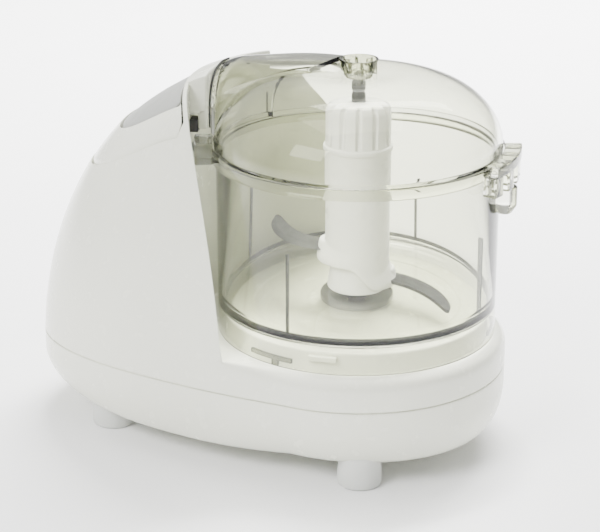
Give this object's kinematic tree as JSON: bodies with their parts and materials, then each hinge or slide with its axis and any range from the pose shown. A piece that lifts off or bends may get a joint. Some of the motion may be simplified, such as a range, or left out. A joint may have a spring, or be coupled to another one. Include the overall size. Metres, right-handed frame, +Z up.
{
  "type": "food processor",
  "caption": "Compact food processor: white rounded base and motor tower, clear bowl and domed lid, steel sickle blades on a white hub, paddle buttons on the tower",
  "frame": {"origin": "on the ground plane that the feet stand on, under the middle of the overall length and width", "axes": "+X from the motor tower to the bowl end, +Y to the left of that, +Z up"},
  "size_m": [0.2344, 0.1476, 0.1835],
  "materials": {
    "body_white": "smooth moulded, glossy warm white",
    "foot_white": "soft translucent white",
    "clear_plastic": "clear, polished, very slightly warm",
    "hub_white": "smooth moulded white",
    "button_grey": "fine satin light grey",
    "blade_steel": "ground stainless steel",
    "bright_steel": "turned bright steel",
    "plate_steel": "plain zinc plated",
    "laminations": "stacked sheet edges",
    "copper_wire": "varnished copper",
    "brass": "plain",
    "carbon": "pressed carbon",
    "black_plastic": "moulded, satin",
    "belt_rubber": "matte"
  },
  "bodies": {
    "power_unit": {"upper_housing": "body_white", "base_cover": "body_white", "foot_front_left": "foot_white", "foot_front_right": "foot_white", "foot_rear_left": "foot_white", "foot_rear_right": "foot_white", "bowl_seat": "body_white", "spindle_collar": "bright_steel", "upper_bush": "brass", "lower_bush": "brass", "chassis_plate": "plate_steel", "chassis_screws": "plate_steel", "housing_screws": "plate_steel", "lower_bracket": "plate_steel", "upper_bracket": "black_plastic", "lower_bearing": "brass", "upper_bearing": "brass", "motor_bolts": "plate_steel", "stator_core": "laminations", "field_windings": "copper_wire", "brush_holders": "brass", "carbon_brushes": "carbon", "drive_belt": "belt_rubber", "switch_bracket": "black_plastic", "high_speed_switch": "black_plastic", "low_speed_switch": "black_plastic", "interlock_switch": "black_plastic", "rod_guide": "black_plastic", "terminal_block": "hub_white", "suppression_capacitor": "black_plastic", "cord_gland": "black_plastic", "high_speed_spring": "bright_steel", "low_speed_spring": "bright_steel"},
    "rotor": {"armature_shaft": "bright_steel", "armature_core": "laminations", "armature_windings": "copper_wire", "commutator": "copper_wire", "cooling_fan": "black_plastic", "motor_pulley": "bright_steel"},
    "spindle": {"drive_spindle": "bright_steel", "driven_pulley": "hub_white", "circlip": "bright_steel", "thrust_washer": "brass", "drive_dog": "bright_steel"},
    "bowl": {"bowl": "clear_plastic"},
    "lid": {"lid": "clear_plastic"},
    "blade": {"blade_hub": "hub_white", "hub_cap": "hub_white", "hub_pin": "bright_steel", "upper_blade": "blade_steel", "lower_blade": "blade_steel"},
    "high_button": {"high_speed_button": "button_grey"},
    "low_button": {"low_speed_button": "body_white"},
    "interlock": {"interlock_rod": "button_grey"}
  },
  "joints": [
    {"name": "motor_spin", "type": "hinge", "parent": "power_unit", "child": "rotor", "pos_m": [-0.0659, 0, 0.075], "axis": [0, 0, 1], "continuous": true},
    {"name": "spindle_spin", "type": "hinge", "parent": "power_unit", "child": "spindle", "pos_m": [0.0426, 0, 0.075], "axis": [0, 0, 1], "continuous": true},
    {"name": "bowl_lift", "type": "slide", "parent": "power_unit", "child": "bowl", "axis": [0, 0, 1], "range_m": [0, 0.14]},
    {"name": "blade_spin", "type": "hinge", "parent": "bowl", "child": "blade", "pos_m": [0.0426, 0, 0.1], "axis": [0, 0, 1], "continuous": true},
    {"name": "lid_lift", "type": "slide", "parent": "bowl", "child": "lid", "axis": [0, 0, 1], "range_m": [0, 0.09]},
    {"name": "high_speed_press", "type": "slide", "parent": "power_unit", "child": "high_button", "axis": [0, 0, -1], "range_m": [0, 0.0025], "stiffness_N_per_m": 400, "springref_m": -0.002, "deforming": ["high_speed_spring"]},
    {"name": "low_speed_press", "type": "slide", "parent": "power_unit", "child": "low_button", "axis": [0, 0, -1], "range_m": [0, 0.0025], "stiffness_N_per_m": 400, "springref_m": -0.002, "deforming": ["low_speed_spring"]},
    {"name": "interlock_press", "type": "slide", "parent": "power_unit", "child": "interlock", "axis": [-1, 0, 0], "range_m": [0, 0.0025], "stiffness_N_per_m": 200, "springref_m": -0.001}
  ],
  "couplings": [
    {"joint": "spindle_spin", "follows": "motor_spin", "ratio": 0.25},
    {"joint": "blade_spin", "follows": "motor_spin", "ratio": 0.25}
  ]
}
